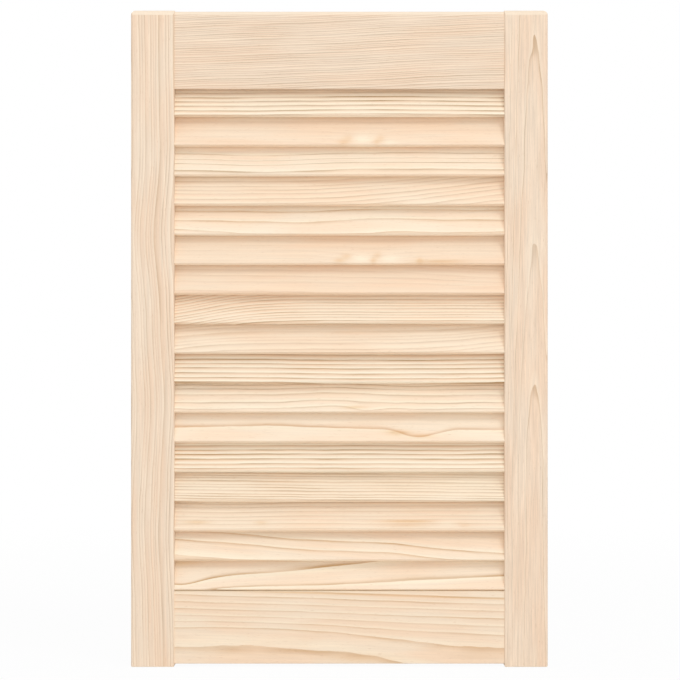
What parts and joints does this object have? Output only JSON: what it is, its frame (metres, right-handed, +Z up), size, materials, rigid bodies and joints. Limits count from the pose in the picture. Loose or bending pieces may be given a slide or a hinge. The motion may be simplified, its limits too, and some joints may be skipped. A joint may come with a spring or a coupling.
{
  "type": "louvred cabinet door",
  "caption": "Louvred pine cabinet door: two stiles, two dowelled rails and fixed sloping slats housed in the stiles, for a ventilated cupboard or wardrobe",
  "frame": {"origin": "midway along the bottom edge, at the middle of the thickness, level with the stile ends", "axes": "+X to the viewer's right across the door, -Y out of the front, +Z up along the stiles"},
  "size_m": [0.394, 0.021, 0.6208],
  "materials": {
    "frame_pine": "sanded, unfinished",
    "slat_pine": "planed, unfinished",
    "dowel_beech": "plain"
  },
  "bodies": {
    "root": {"bottom_rail": "frame_pine", "dowel_bottom_left_lower": "dowel_beech", "dowel_bottom_left_upper": "dowel_beech", "dowel_bottom_right_lower": "dowel_beech", "dowel_bottom_right_upper": "dowel_beech", "dowel_top_left_lower": "dowel_beech", "dowel_top_left_upper": "dowel_beech", "dowel_top_right_lower": "dowel_beech", "dowel_top_right_upper": "dowel_beech", "left_stile": "frame_pine", "right_stile": "frame_pine", "slat_01": "slat_pine", "slat_02": "slat_pine", "slat_03": "slat_pine", "slat_04": "slat_pine", "slat_05": "slat_pine", "slat_06": "slat_pine", "slat_07": "slat_pine", "slat_08": "slat_pine", "slat_09": "slat_pine", "slat_10": "slat_pine", "slat_11": "slat_pine", "slat_12": "slat_pine", "slat_13": "slat_pine", "slat_14": "slat_pine", "slat_15": "slat_pine", "slat_16": "slat_pine", "slat_17": "slat_pine", "top_rail": "frame_pine"}
  },
  "joints": []
}
